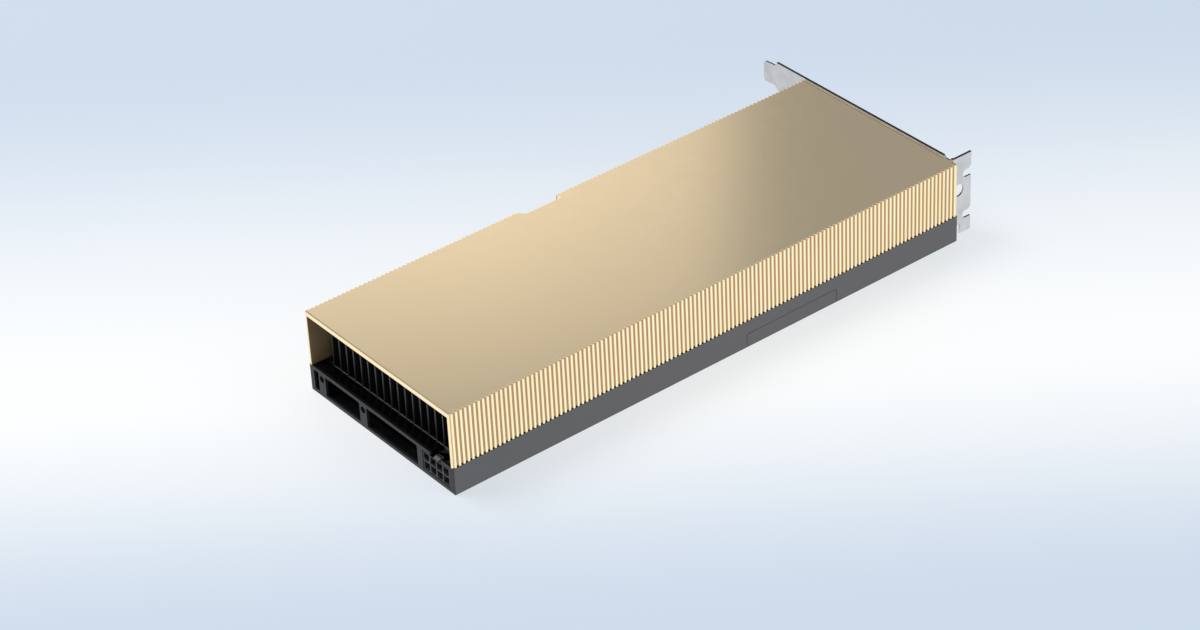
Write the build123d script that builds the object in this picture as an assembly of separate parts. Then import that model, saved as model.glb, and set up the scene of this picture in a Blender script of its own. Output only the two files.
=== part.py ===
from build123d import *
import os

# A passive accelerator card, lying on its back plate. It is a dual-slot, full-height circuit board in a
# dark frame, under a gold-coloured fluted shroud. Air enters at the power end, runs between tall fins and
# leaves through the slots of the bracket. +X runs from the power end to the bracket, +Y towards the edge
# contacts and +Z out through the shroud. The origin is the middle of the resting face. Sizes are in mm.
# A place along X is given from the power end, unless its name says otherwise.

# The whole card
card_length = 266.8  # power end to the inner face of the bracket
body_width = 96.7  # across the housing, over the crests of the flutes
body_height = 38.1  # resting face to the top of the shroud
band_height = 12.6  # resting face to the top of the dark frame
board_span = 111.15  # link side of the housing to the tips of the edge contacts
fit = 0.15  # gap between pieces that slide together
hole_fit = 0.05  # gap round the shank of a screw
past = 1.0  # how far a cutter runs past the face that it opens
bite = 0.1  # how far a form runs into the wall that it grows from

# Shroud: one fluted aluminium cover
shroud_top = 2.0
shroud_wall = 1.75  # inner face to the crest of a flute
flute_pitch = 2.165
flute_crest_radius = 0.70
flute_margin = 0.5  # least plain strip at each end of a row
relief_length = 20.1  # finger relief beside the board's latch hook
relief_slant = 2.0
relief_depth = 3.3
relief_wall = 1.2
lug_length = 6.0
lug_height = 6.0
lug_roof = 0.8  # what is left over a screw's blind hole
front_lug = 45.0
rear_lugs_from_bracket = (116.8, 28.8)
corner_block = 6.6  # blocks in the shroud's upper corners that take two of the bracket's screws

# Frame: the dark band round the board
frame_wall = 1.2
ledge_width = 4.1
ledge_thickness = 1.0
deck_thickness = 0.5  # sheet that leads the air over the end wall to the fins
post_radius = 1.8
post_inset = 3.45  # side of the housing to a post's centre
post_rib = 1.6
front_post = 24.0
rear_posts_from_bracket = (168.8, 12.0)
rail_sill = 1.7  # solid strip under the windows of the end wall
rail_top = 1.7  # solid strip over them
window_radius = 0.6
slot_window_width = 3.05
inlet_land = 3.7  # power inlet to the longer window
retainer_land = 2.4  # middle of a retainer hole to the window beside it
retainer_middle_y = 12.0
retainer_inset = 8.05  # side of the housing to the other retainer hole
retainer_height = 8.7
retainer_hole_radius = 1.5
retainer_nut_radius = 2.2
retainer_thread_radius = 1.25
retainer_nut_length = 3.8
screw_block_length = 6.2  # the frame's two blocks behind the bracket
screw_block_width = 6.0
screw_block_height = 6.9
screw_block_inset = 7.35  # side of the housing to the block's middle

# Back plate
backplate_thickness = 1.0
spacer_radius = 2.0

# Circuit board
board_bottom = 2.67
board_thickness = 1.57
board_gap = 0.25  # board edge to the frame's walls
board_setback = 7.0
bracket_gap = 0.3
finger_depth = 8.25
finger_start = 45.4  # bracket to the first contact strip
finger_short = 11.65
finger_key = 1.9
finger_long = 71.65
finger_bevel = 0.8
hook_gap = 2.6
hook_length = 4.15
hook_reach = 5.6
hook_undercut = 0.9
contact_pitch = 1.0
contact_width = 0.7
contact_length = 5.6
contact_thickness = 0.04
contact_lead = 0.6  # edge of a strip to its first contact

# Link port on the side away from the edge contacts
link_from_bracket = 117.8  # bracket to the port's far end
link_length = 49.1
link_height = 6.5
link_contact_pitch = 1.7
link_contact_width = 1.2
link_contact_length = 3.6
link_contact_margin = 2.0
link_leg = 0.8
link_leg_reach = 5.0
link_leg_inset = 2.0

# Cooler
plate_bottom = 8.4
plate_top = 11.3
fin_setback = 7.3
fin_end_gap = 8.8  # fins to the bracket
fin_count = 18
fin_thickness = 1.0
fin_groove = 0.3
fin_headroom = 0.3  # fins to the shroud
pad_thickness = 0.56
paste_thickness = 0.15
pedestal_inset = 4.0  # package edge to the pedestal that meets the die

# Processor package and its fixing
gpu_from_bracket = 105.0
gpu_y = 2.0
substrate_size = 55.0
substrate_thickness = 1.4
ring_width = 3.0
ring_height = 0.6
die_size = (26.0, 32.0)
die_height = 0.78
memory_size = (8.0, 11.0)
memory_height = 0.72
memory_gap = 1.0
brace_pitch = 63.0
brace_thickness = 0.8
brace_arm = 7.0
brace_window = 26.0
brace_rim = 4.0
brace_post_radius = 2.6
brace_head_radius = 2.7
brace_head_height = 1.2
access_hole_radius = 3.3

# Supply parts on the board; columns and places are given from the middle of the processor
phase_rows = 7
phase_pitch = 9.6
inductor_columns = (-62.0, -44.0, 46.0)
inductor_size = (6.6, 6.6, 3.6)
stage_columns = (-70.0, -52.0, 54.0)
stage_size = (5.0, 6.0, 0.8)
rear_pad_columns = (-53.0, 50.0)
rear_pad_width = 20.0
bulk_place = (-111.8, 1.0)
bulk_grid = (3, 4)
bulk_pitch = (12.0, 9.0)
bulk_size = (7.3, 4.3, 2.9)
output_rows = 6
output_pitch = 7.0
output_gap = 5.25  # package to the output capacitors
output_size = (3.5, 2.8, 1.9)
rear_rows = 5
rear_pitch = 4.5
rear_size = (1.6, 0.8, 0.8)
controller_places = ((-83.8, -30.0), (-83.8, 32.0))
controller_size = (7.0, 7.0, 0.9)
crystal_place = (63.2, 12.0)
crystal_size = (3.2, 2.5, 0.8)

# Other parts on the board, with x from the power end
choke_place = (32.0, -34.5)
choke_size = (12.0, 12.0, 3.8)
fuse_places = ((32.0, -22.0), (32.0, -16.0))
fuse_size = (6.0, 2.7, 0.9)
monitor_place = (26.0, 27.0)
monitor_size = (9.0, 9.0, 1.0)
firmware_place = (26.0, 37.0)
firmware_size = (5.0, 6.0, 1.7)

# Power inlet: eight-way header that stands in a cut-out of the board
inlet_inset = 11.85  # side of the housing to the inlet's middle
inlet_bottom = 2.0
inlet_width = 17.2
inlet_height = 8.5
inlet_setback = 0.2
inlet_depth = 13.0
inlet_pitch = 4.2
cavity_size = 3.4
cavity_depth = 10.5
cavity_chamfer = 0.9
pin_size = 1.14
pin_setback = 3.5
pin_hole_gap = 0.3
upper_pin_turn = 4.4  # how far behind the inlet the upper pins turn down
lower_pin_turn = 2.2
latch_width = 3.4
latch_length = 2.8
latch_nose = 1.3
latch_height = 0.9
latch_gap = 6.9  # opening in the end wall's top strip, over the latch

# Bracket: folded steel sheet
bracket_thickness = 0.86
bracket_height = 38.7
bracket_low = 0.35
bracket_length = 120.0
flange_inset = 3.15  # side of the housing to the flange's outer face
flange_reach = 10.8
bend_radius = 0.5  # inside the fold
tab_width = 10.2
tab_length = 6.8
tab_low = 5.95  # bottom of the bracket to its lower tab
tab_bend = 4.4
tab_lean = 0.5
tab_radius = 1.7
tab_relief = 2.5
tab_step = 1.6
shoulder = 5.5
slot_pitch = 20.32
screw_slot_width = 3.6
screw_slot_depth = 4.7
screw_slot_low = 8.55  # bottom of the bracket to the lower slot
screw_slot_flare = 1.3
flange_hole_radius = 2.9
flange_hole_height = 21.95
flange_hole_reach = 3.6
heel_height = 4.65  # the fold is cut back this far at its lower end
heel_reach = 4.8
fold_notch_depth = 1.2
fold_notch_width = 3.2
vent_count = 15
vent_width = 3.2
vent_length = 9.8
vent_rows = (19.4, 30.8)

# Screws
screw_radius = 1.0
screw_head_radius = 2.0
screw_head_height = 1.3
screw_grip = 4.0
head_gap = 0.02  # how far a sunk head lies below its face
board_screw_y = 30.0
front_board_screw = 44.0
rear_board_screw_from_bracket = 35.8

# Worked out from the sizes above
half_width = body_width / 2
power_end = -card_length / 2
bracket_end = card_length / 2
valley_radius = flute_pitch / 2 - flute_crest_radius
flute_line = half_width - flute_crest_radius
flute_count = int((card_length - 2 * flute_margin + 2 * valley_radius) / flute_pitch)
row_margin = (card_length - flute_count * flute_pitch + 2 * valley_radius) / 2
row_start = power_end + row_margin
ceiling = body_height - shroud_top
shroud_inner = half_width - shroud_wall
frame_inner = half_width - frame_wall
ledge_inner = frame_inner - ledge_width
ledge_low = band_height - ledge_thickness
lug_y = (ledge_inner + shroud_inner) / 2
lug_places = (power_end + front_lug, *(bracket_end - x for x in rear_lugs_from_bracket))
post_places = (power_end + front_post, *(bracket_end - x for x in rear_posts_from_bracket))
board_screw_columns = (power_end + front_board_screw, bracket_end - rear_board_screw_from_bracket)
relief_face = half_width - relief_depth
plate_half_width = lug_y - screw_head_radius - fit
fin_pitch = (2 * plate_half_width - fin_thickness) / (fin_count - 1)
board_top = board_bottom + board_thickness
board_edge = frame_inner - board_gap
finger_tip = board_span - half_width
finger_root = finger_tip - finger_depth
hook_right = bracket_end - finger_start - finger_short - finger_key - finger_long - hook_gap
wide_end = hook_right - hook_length  # where the board's wide stretch begins
relief_end = wide_end - frame_wall - board_gap
relief_start = relief_end - relief_length
gpu_x = bracket_end - gpu_from_bracket
package_top = board_top + substrate_thickness
die_top = package_top + die_height
post_y = half_width - post_inset
fin_start = power_end + fin_setback
fin_end = bracket_end - fin_end_gap
inlet_y = inlet_inset - half_width
inlet_front = power_end + inlet_setback
inlet_back = inlet_front + inlet_depth
inlet_top = inlet_bottom + inlet_height
inlet_middle = inlet_bottom + inlet_height / 2
rail_low = band_height - rail_top
retainer_side_y = half_width - retainer_inset
retainer_places = (retainer_middle_y, retainer_side_y)
window_one = (retainer_middle_y + retainer_land, retainer_side_y - retainer_land)
window_two = (inlet_y + inlet_width / 2 + inlet_land, retainer_middle_y - retainer_land)
slot_start = retainer_side_y + retainer_land
slot_window = (slot_start, slot_start + slot_window_width)
screw_block_y = half_width - screw_block_inset
link_first = bracket_end - link_from_bracket
link_last = link_first + link_length
bracket_top = bracket_low + bracket_height
flange_face = flange_inset - half_width
screw_bore = screw_radius + hole_fit
head_bore = screw_head_radius + hole_fit
shroud_screw_y = shroud_inner - corner_block / 2
shroud_screw_z = ceiling - corner_block / 2
frame_screw_z = board_top + (ledge_low - board_top) / 2
bracket_screw_places = (
    (-screw_block_y, frame_screw_z),
    (screw_block_y, frame_screw_z),
    (-shroud_screw_y, shroud_screw_z),
    (shroud_screw_y, shroud_screw_z),
)


# Helpers


def block(x_low, x_high, y_low, y_high, z_low, z_high):
    """A box between two corners."""
    middle = Pos((x_low + x_high) / 2, (y_low + y_high) / 2, (z_low + z_high) / 2)
    return middle * Box(x_high - x_low, y_high - y_low, z_high - z_low)


def side_block(side, x_low, x_high, y_near, y_far, z_low, z_high):
    """A box on side -1 or +1 of the card, between two distances from its middle line."""
    y_low, y_high = sorted((side * y_near, side * y_far))
    return block(x_low, x_high, y_low, y_high, z_low, z_high)


def chip(x, y, z_low, size):
    """A box of the given length, width and height that stands on z_low."""
    length, width, height = size
    return Pos(x, y, z_low + height / 2) * Box(length, width, height)


def upright(x, y, z_low, z_high, radius):
    """A cylinder along Z."""
    return Pos(x, y, (z_low + z_high) / 2) * Cylinder(radius, z_high - z_low)


def rod(x_low, x_high, y, z, radius):
    """A cylinder along X."""
    return Pos((x_low + x_high) / 2, y, z) * Rot(0, 90, 0) * Cylinder(radius, x_high - x_low)


def across(x):
    """A sketch plane across the card, with Y to the right and Z up."""
    return Plane(origin=(x, 0, 0), x_dir=(0, 1, 0), z_dir=(1, 0, 0))


def grid(columns, rows, x_pitch, y_pitch):
    """Offsets of a centred grid of places."""
    return [
        ((i - (columns - 1) / 2) * x_pitch, (j - (rows - 1) / 2) * y_pitch)
        for i in range(columns)
        for j in range(rows)
    ]


def parts_at(places, size):
    """Equal parts on the board's upper face."""
    return Compound(children=[chip(x, y, board_top, size) for x, y in places])


# Places that several pieces share


def frame_post_places():
    """Screw posts that hang from the frame's ledges."""
    return [(x, side * post_y) for x in post_places for side in (-1, 1)]


def plate_post_places():
    """Screw posts of the cold plate that hold the board."""
    return [(x, side * board_screw_y) for x in board_screw_columns for side in (-1, 1)]


def housing_screw_places():
    """Screws from below, through the back plate and the board."""
    return frame_post_places() + plate_post_places()


def shroud_screw_places():
    """Screws that hold the shroud's lugs to the frame's ledges."""
    return [(x, side * lug_y) for x in lug_places for side in (-1, 1)]


def brace_screw_places():
    """Four screws at the corners of the processor's brace."""
    return [(gpu_x + x, gpu_y + y) for x, y in grid(2, 2, brace_pitch, brace_pitch)]


def phase_places(columns):
    """Places of a part that the supply repeats for each phase."""
    return [(gpu_x + x, gpu_y + y) for x in columns for _, y in grid(1, phase_rows, 0, phase_pitch)]


def phase_strip(column, width, z_low, z_high):
    """A strip as long as one column of phases."""
    length = (phase_rows - 1) * phase_pitch + inductor_size[1]
    return chip(gpu_x + column, gpu_y, z_low, (width, length, z_high - z_low))


def inlet_pin_places():
    """Each pin of the power inlet: x where it turns down, y and z of its cavity."""
    places = []
    for level, turn in ((1, upper_pin_turn), (-1, lower_pin_turn)):
        z = inlet_middle + level * inlet_pitch / 2
        places += [(inlet_back + turn, inlet_y + y, z) for _, y in grid(1, 4, 0, inlet_pitch)]
    return places


# Shroud


def flute_start(index):
    """Where the crest with this number begins."""
    return row_start + index * flute_pitch


def flute_end(index):
    """Where the crest with this number ends."""
    return flute_start(index) + 2 * flute_crest_radius


def flute_run(first, last, side):
    """Crest and valley arcs of the flutes from first to last, on one side."""
    line = side * flute_line
    arcs = []
    for index in range(first, last + 1):
        crest = (flute_start(index) + flute_crest_radius, line + side * flute_crest_radius)
        arcs.append(ThreePointArc((flute_start(index), line), crest, (flute_end(index), line)))
        if index < last:
            hollow = (flute_end(index) + valley_radius, line - side * valley_radius)
            next_start = (flute_start(index + 1), line)
            arcs.append(ThreePointArc((flute_end(index), line), hollow, next_start))
    return arcs


def relief_neighbours():
    """Numbers of the last flute before the finger relief and the first one after it."""
    before = int((relief_start - row_start - 2 * flute_crest_radius) / flute_pitch)
    after = int((relief_end - row_start) / flute_pitch) + 1
    return before, after


def shroud_outline():
    """The shroud seen from above: fluted along both sides, with the finger relief."""
    line = flute_line
    last = flute_count - 1
    before, after = relief_neighbours()
    edges = flute_run(0, last, -1) + flute_run(0, before, 1) + flute_run(after, last, 1)
    edges += [
        Polyline((power_end, line), (power_end, -line), (flute_start(0), -line)),
        Polyline((flute_end(last), -line), (bracket_end, -line), (bracket_end, line)),
        Line((bracket_end, line), (flute_end(last), line)),
        Polyline(
            (flute_start(after), line),
            (relief_end, line),
            (relief_end, relief_face),
            (relief_start + relief_slant, relief_face),
            (relief_start, line),
            (flute_end(before), line),
        ),
        Line((flute_start(0), line), (power_end, line)),
    ]
    return make_face(Wire([edge for item in edges for edge in item.edges()]))


def relief_wall_block():
    """The stretch of the shroud's side that stays solid round the finger relief."""
    return block(
        relief_start - relief_wall,
        relief_end + relief_wall,
        relief_face - relief_wall,
        half_width,
        band_height - past,
        ceiling,
    )


def top_shroud():
    """The fluted cover with its open ends, screw lugs and corner blocks."""
    shell = Pos(0, 0, band_height) * extrude(shroud_outline(), body_height - band_height)
    inside = block(
        power_end - past,
        bracket_end + past,
        -shroud_inner,
        shroud_inner,
        band_height - past,
        ceiling,
    )
    shell -= inside - relief_wall_block()
    lug_top = band_height + lug_height
    for x, y in shroud_screw_places():
        side = 1 if y > 0 else -1
        start = x - lug_length / 2
        end = x + lug_length / 2
        shell += side_block(side, start, end, ledge_inner, shroud_inner, band_height, lug_top)
        shell -= upright(x, y, band_height - past, lug_top - lug_roof, screw_bore)
    for y, z in bracket_screw_places[2:]:
        shell += Pos(bracket_end - corner_block / 2, y, z) * Box(*3 * [corner_block])
        shell -= rod(bracket_end - corner_block + lug_roof, bracket_end + past, y, z, screw_bore)
    return shell


# Frame and back plate


def housing_outline(inset):
    """The housing seen from above without its flutes, drawn in by inset."""
    side = half_width - inset
    face = relief_face - inset
    start = relief_start - inset
    end = relief_end + inset
    return Polygon(
        (power_end + inset, -side),
        (bracket_end, -side),
        (bracket_end, side),
        (end, side),
        (end, face),
        (start + relief_slant, face),
        (start, side),
        (power_end + inset, side),
        align=None,
    )


def deck():
    """The thin sheet that slopes from the top of the end wall down to the cold plate."""
    profile = Polygon(
        (power_end + frame_wall - bite, band_height),
        (power_end + frame_wall - bite, band_height - deck_thickness),
        (power_end + frame_wall, band_height - deck_thickness),
        (fin_start, plate_top - deck_thickness),
        (fin_start, plate_top),
        (power_end + frame_wall, band_height),
        align=None,
    )
    width = frame_inner - inlet_y - latch_gap / 2
    return Pos(0, frame_inner, 0) * extrude(Plane.XZ * profile, width)


def ledges():
    """The inward flanges along the frame's sides, on which the shroud's lugs stand."""
    shelves = []
    for side in (-1, 1):
        near, far = ledge_inner, frame_inner + bite
        shelves.append(side_block(side, fin_start, bracket_end, near, far, ledge_low, band_height))
    return shelves


def frame_posts():
    """Round posts under the ledges, each with a rib to the side wall."""
    posts = []
    half = post_rib / 2
    for x, y in frame_post_places():
        side = 1 if y > 0 else -1
        posts.append(upright(x, y, board_top, ledge_low + bite, post_radius))
        rib = side_block(side, x - half, x + half, post_y, frame_inner + bite, board_top, band_height)
        posts.append(rib)
    return posts


def screw_blocks():
    """Two blocks behind the bracket, under the ledges."""
    blocks = []
    start = bracket_end - screw_block_length
    near, far = screw_block_y - screw_block_width / 2, frame_inner + bite
    low = ledge_low - screw_block_height
    for side in (-1, 1):
        blocks.append(side_block(side, start, bracket_end, near, far, low, ledge_low + bite))
    return blocks


def end_wall_opening(y_low, y_high, z_low, z_high, radius):
    """A cutter for an opening with round corners in the end wall."""
    face = RectangleRounded(y_high - y_low, z_high - z_low, radius)
    plane = across(power_end - past)
    return extrude(plane * Pos((y_low + y_high) / 2, (z_low + z_high) / 2) * face, frame_wall + past)


def end_wall_cutters():
    """Cutters for the windows, the power inlet, its latch and the two retainer holes."""
    spans = (slot_window, window_one, window_two)
    cutters = [end_wall_opening(a, b, rail_sill, rail_low, window_radius) for a, b in spans]
    half = inlet_width / 2 + fit
    start, end = power_end - past, power_end + frame_wall
    low, high = inlet_bottom - fit, rail_low
    cutters.append(block(start, end, inlet_y - half, inlet_y + half, low, high))
    half = latch_gap / 2
    cutters.append(block(start, end, inlet_y - half, inlet_y + half, low, band_height + past))
    for y in retainer_places:
        cutters.append(rod(start, end, y, retainer_height, retainer_hole_radius))
    return cutters


def base_frame():
    """The dark band: side walls, end wall, ledges, deck, screw posts and blocks."""
    walls = extrude(housing_outline(0), band_height) - extrude(housing_outline(frame_wall), band_height)
    frame = walls + deck() + ledges() + frame_posts() + screw_blocks()
    frame &= extrude(housing_outline(0), band_height)
    for cutter in end_wall_cutters():
        frame -= cutter
    for y, z in bracket_screw_places[:2]:
        start = bracket_end - screw_block_length + lug_roof
        frame -= rod(start, bracket_end + past, y, z, screw_bore)
    for x, y in frame_post_places():
        frame -= upright(x, y, board_top - past, ledge_low - lug_roof, screw_bore)
    for x, y in shroud_screw_places():
        frame -= upright(x, y, ledge_low - past, band_height + past, screw_bore)
    link_side = -half_width
    frame -= block(link_first, link_last, link_side - past, -frame_inner, -past, link_height)
    frame -= block(
        wide_end - fit, bracket_end + past, frame_inner, half_width + past, -past, board_top + fit
    )
    return frame


def backplate():
    """The flat cover under the board, with spacers, screw holes and the rim under the board's edge."""
    plate = extrude(housing_outline(frame_wall + fit), backplate_thickness)
    plate += block(
        wide_end, bracket_end, frame_inner - fit - bite, half_width, 0, backplate_thickness
    )
    plate += block(wide_end, bracket_end, frame_inner, half_width, 0, board_bottom - fit)
    for x, y in housing_screw_places():
        plate += upright(x, y, 0, board_bottom, spacer_radius)
        plate -= upright(x, y, -past, board_bottom + past, screw_bore)
        sink = Cone(head_bore, screw_bore, backplate_thickness)
        plate -= Pos(x, y, backplate_thickness / 2) * sink
    for x, y in brace_screw_places():
        plate -= upright(x, y, -past, board_bottom + past, access_hole_radius)
    return plate


def link_cover():
    """The cap over the link port: a panel flush with the band and two legs that grip the board."""
    low, high = link_first + fit, link_last - fit
    panel = block(low, high, -half_width, -frame_inner, 0, link_height - fit)
    start, end = low + link_leg_inset, high - link_leg_inset
    tip = -frame_inner + link_leg_reach
    above = board_top + contact_thickness
    below = board_bottom - contact_thickness
    upper = block(start, end, -frame_inner, tip, above, above + link_leg)
    lower = block(start, end, -frame_inner, tip, below - link_leg, below)
    return panel + upper + lower


# Circuit board


def tongue_points():
    """Corners of the contact tongue from the bracket side, with bevels and the key."""
    right = bracket_end - finger_start
    key_right = right - finger_short
    key_left = key_right - finger_key
    left = key_left - finger_long
    points = []
    for high, low in ((right, key_right), (key_left, left)):
        points += [
            (high, finger_root),
            (high, finger_tip - finger_bevel),
            (high - finger_bevel, finger_tip),
            (low + finger_bevel, finger_tip),
            (low, finger_tip - finger_bevel),
            (low, finger_root),
        ]
    return points


def hook_points():
    """Corners of the latch hook beside the tongue, with its undercut."""
    top = finger_root + hook_reach
    return [
        (hook_right, finger_root),
        (hook_right, finger_root + hook_reach / 3),
        (hook_right + hook_undercut, finger_root + hook_reach / 2),
        (hook_right + hook_undercut, top),
        (wide_end + finger_bevel, top),
        (wide_end, top - finger_bevel),
    ]


def board_outline():
    """The board seen from above."""
    left = power_end + board_setback
    right = bracket_end - bracket_gap
    relief_side = relief_face - frame_wall - board_gap
    relief_left = relief_start - frame_wall - board_gap
    return Polygon(
        (left, -board_edge),
        (right, -board_edge),
        (right, finger_root),
        *tongue_points(),
        *hook_points(),
        (wide_end, relief_side),
        (relief_left, relief_side),
        (relief_left, board_edge),
        (left, board_edge),
        align=None,
    )


def circuit_board():
    """The board with its screw holes, pin holes and the cut-out for the power inlet."""
    board = Pos(0, 0, board_bottom) * extrude(board_outline(), board_thickness)
    low, high = board_bottom - past, board_top + past
    half = inlet_width / 2 + board_gap
    start, end = power_end, inlet_back + board_gap
    board -= block(start, end, inlet_y - half, inlet_y + half, low, high)
    for x, y in housing_screw_places() + brace_screw_places():
        board -= upright(x, y, low, high, screw_radius + board_gap)
    for x, y, _ in inlet_pin_places():
        board -= upright(x, y, low, high, pin_size / 2 + pin_hole_gap)
    return board


def contact_row(count, first, step, y, width, length):
    """Contacts on both faces of the board, at equal steps along X."""
    size = (width, length, contact_thickness)
    levels = (board_top, board_bottom - contact_thickness)
    return [chip(first + i * step, y, low, size) for i in range(count) for low in levels]


def edge_contacts():
    """The plated contacts of the tongue, in a short and a long group."""
    y = finger_tip - finger_bevel - contact_length / 2
    pads = []
    for start, length in (
        (finger_start, finger_short),
        (finger_start + finger_short + finger_key, finger_long),
    ):
        count = int((length - contact_lead) / contact_pitch)
        first = bracket_end - start - contact_lead
        pads += contact_row(count, first, -contact_pitch, y, contact_width, contact_length)
    return Compound(children=pads)


def link_contacts():
    """The plated contacts of the link port, on the opposite edge."""
    pitch = link_contact_pitch
    count = int((link_length - 2 * link_contact_margin) / pitch)
    first = (link_first + link_last) / 2 - (count - 1) / 2 * pitch
    y = -board_edge + link_contact_length / 2
    pads = contact_row(count, first, pitch, y, link_contact_width, link_contact_length)
    return Compound(children=pads)


# Cooler


def fin_offsets():
    """The middle of each fin, across the card."""
    return [y for _, y in grid(1, fin_count, 0, fin_pitch)]


def fin_slice(y, z_low, z_high, overrun):
    """The space of one fin between two heights."""
    half = fin_thickness / 2
    return block(fin_start - overrun, fin_end + overrun, y - half, y + half, z_low, z_high)


def cold_plate():
    """The grooved base of the cooler, with its pedestal, stage ridges and screw posts."""
    half = plate_half_width
    plate = block(fin_start, fin_end, -half, half, plate_bottom, plate_top)
    for y in fin_offsets():
        plate -= fin_slice(y, plate_top - fin_groove, plate_top + past, past)
    pedestal = substrate_size - 2 * pedestal_inset
    low = die_top + paste_thickness
    plate += chip(gpu_x, gpu_y, low, (pedestal, pedestal, plate_bottom - low))
    for column in stage_columns:
        low = board_top + stage_size[2] + pad_thickness
        plate += phase_strip(column, stage_size[0], low, plate_bottom)
    for x, y in brace_screw_places() + plate_post_places():
        plate += upright(x, y, board_top, plate_bottom, brace_post_radius)
        plate -= upright(x, y, board_top - past, plate_bottom + lug_roof, screw_bore)
    reach = inlet_back + upper_pin_turn + pin_size
    side = inlet_width / 2 + 2 * fit
    plate -= block(power_end, reach, inlet_y - side, inlet_y + side, 0, inlet_top + fit)
    return plate


def cooling_fins():
    """Upright fins that stand in the plate's grooves, from end to end of the duct."""
    low, high = plate_top - fin_groove, ceiling - fin_headroom
    return Compound(children=[fin_slice(y, low, high, 0) for y in fin_offsets()])


def inductor_pads():
    """Soft heat pads between the inductors and the plate."""
    width, low = inductor_size[0], board_top + inductor_size[2]
    strips = [phase_strip(column, width, low, plate_bottom) for column in inductor_columns]
    return Compound(children=strips)


def stage_pads():
    """Soft heat pads between the power stages and the plate's ridges."""
    width, low = stage_size[0], board_top + stage_size[2]
    strips = [phase_strip(column, width, low, low + pad_thickness) for column in stage_columns]
    return Compound(children=strips)


def backplate_pads():
    """Soft heat pads between the board's underside and the back plate."""
    low, high = backplate_thickness, board_bottom
    strips = [phase_strip(column, rear_pad_width, low, high) for column in rear_pad_columns]
    return Compound(children=strips)


# Processor package


def gpu_substrate():
    """The package's carrier."""
    return chip(gpu_x, gpu_y, board_top, (substrate_size, substrate_size, substrate_thickness))


def package_ring():
    """The stiffening ring round the package."""
    inner = substrate_size - 2 * ring_width
    ring = chip(gpu_x, gpu_y, package_top, (substrate_size, substrate_size, ring_height))
    return ring - chip(gpu_x, gpu_y, package_top - past, (inner, inner, ring_height + 2 * past))


def processor_die():
    """The bare processor."""
    return chip(gpu_x, gpu_y, package_top, (*die_size, die_height))


def memory_stacks():
    """Three memory stacks along each side of the die."""
    x = (die_size[0] + memory_size[0]) / 2 + memory_gap
    rows = grid(2, 3, 2 * x, memory_size[1] + memory_gap)
    size = (*memory_size, memory_height)
    return Compound(children=[chip(gpu_x + dx, gpu_y + y, package_top, size) for dx, y in rows])


def thermal_paste():
    """The thin layer between the die and the pedestal."""
    return chip(gpu_x, gpu_y, die_top, (*die_size, paste_thickness))


def spring_brace():
    """The X-shaped leaf spring under the board that pulls the cooler down."""
    low = board_bottom - brace_thickness
    length = brace_pitch * 2**0.5 + brace_arm
    outer = brace_window + 2 * brace_rim
    brace = chip(0, 0, low, (outer, outer, brace_thickness))
    for angle in (45, -45):
        brace += Rot(0, 0, angle) * chip(0, 0, low, (length, brace_arm, brace_thickness))
    window = (brace_window, brace_window, brace_thickness + 2 * past)
    brace = Pos(gpu_x, gpu_y, 0) * (brace - chip(0, 0, low - past, window))
    for x, y in brace_screw_places():
        brace -= upright(x, y, low - past, board_bottom + past, screw_bore)
    return brace


# Parts on the board


def power_inductors():
    """One inductor for each phase of the supply."""
    return parts_at(phase_places(inductor_columns), inductor_size)


def power_stages():
    """One switching stage for each inductor."""
    return parts_at(phase_places(stage_columns), stage_size)


def input_capacitors():
    """Bulk capacitors of the supply's input."""
    x, y = bulk_place
    places = [(gpu_x + x + dx, gpu_y + y + dy) for dx, dy in grid(*bulk_grid, *bulk_pitch)]
    return parts_at(places, bulk_size)


def output_capacitors():
    """Small capacitors between the inductors and the package."""
    spread = substrate_size + 2 * output_gap + output_size[0]
    places = [(gpu_x + x, gpu_y + y) for x, y in grid(2, output_rows, spread, output_pitch)]
    return parts_at(places, output_size)


def rear_capacitors():
    """Small capacitors on the board's underside, in the brace's window."""
    low = board_bottom - rear_size[2]
    places = grid(rear_rows, rear_rows, rear_pitch, rear_pitch)
    return Compound(children=[chip(gpu_x + x, gpu_y + y, low, rear_size) for x, y in places])


def board_parts(places, size):
    """Parts at places whose x is given from the power end."""
    return parts_at([(power_end + x, y) for x, y in places], size)


def input_choke():
    """The coil that the supply current passes first."""
    return board_parts([choke_place], choke_size)


def input_fuses():
    """Two fuses beside the choke."""
    return board_parts(fuse_places, fuse_size)


def phase_controllers():
    """The two chips that steer the supply's phases."""
    return parts_at([(gpu_x + x, gpu_y + y) for x, y in controller_places], controller_size)


def monitor_chip():
    """The card's management controller."""
    return board_parts([monitor_place], monitor_size)


def firmware_chip():
    """The memory that holds the start-up code."""
    return board_parts([firmware_place], firmware_size)


def clock_crystal():
    """The clock source beside the processor."""
    x, y = crystal_place
    return parts_at([(gpu_x + x, gpu_y + y)], crystal_size)


# Power inlet


def cavity_mouth(keyed):
    """The mouth of one cavity: square, or with its two lower corners cut."""
    half = cavity_size / 2
    if not keyed:
        return Rectangle(cavity_size, cavity_size)
    return Polygon(
        (-half, half),
        (-half, cavity_chamfer - half),
        (cavity_chamfer - half, -half),
        (half - cavity_chamfer, -half),
        (half, cavity_chamfer - half),
        (half, half),
        align=None,
    )


def latch_ramp():
    """The ramp on top of the header that the plug's latch snaps over."""
    front = inlet_front + bite
    profile = Polygon(
        (front, inlet_top - bite),
        (front, inlet_top + latch_height / 2),
        (front + latch_nose, inlet_top + latch_height),
        (front + latch_length, inlet_top + latch_height),
        (front + latch_length, inlet_top - bite),
        align=None,
    )
    return Pos(0, inlet_y, 0) * extrude(Plane.XZ * profile, latch_width / 2, both=True)


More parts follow.
